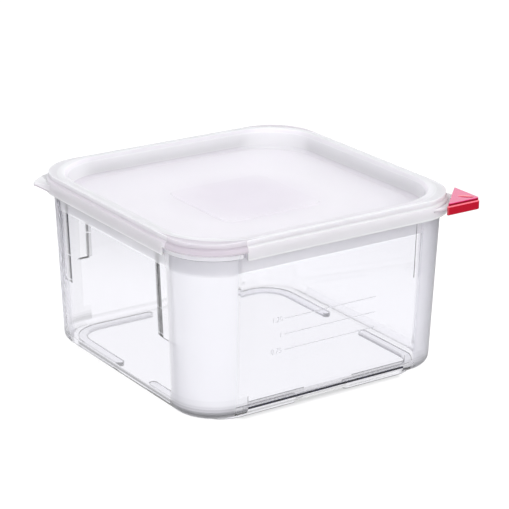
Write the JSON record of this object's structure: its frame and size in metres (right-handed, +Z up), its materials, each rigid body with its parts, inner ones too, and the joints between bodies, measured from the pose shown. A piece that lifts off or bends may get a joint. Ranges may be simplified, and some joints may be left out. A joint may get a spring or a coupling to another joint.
{
  "type": "square food storage container",
  "caption": "Clear square food box with rounded corners and corner feet, a translucent press-on lid with a stacking recess, and a red clip on a lid corner tab.",
  "frame": {"origin": "on the plane that the feet stand on, under the middle of the box and lid", "axes": "+Z up; +X and +Y along the box's sides; the clip is at the +X -Y corner and the bare tab at the -X +Y corner"},
  "size_m": [0.1851, 0.1851, 0.105],
  "materials": {
    "clear_box": "clear polished plastic with satin corners",
    "milky_lid": "translucent milky white, satin",
    "red_clip": "glossy red"
  },
  "bodies": {
    "container": {"container": "clear_box"},
    "lid": {"lid": "milky_lid"},
    "clip": {"corner_clip": "red_clip"}
  },
  "joints": [
    {"name": "lid_lift", "type": "slide", "parent": "container", "child": "lid", "axis": [0, 0, 1], "range_m": [0, 0.08]},
    {"name": "clip_slide", "type": "slide", "parent": "lid", "child": "clip", "axis": [0.7071, -0.7071, 0], "range_m": [0, 0.02]}
  ]
}
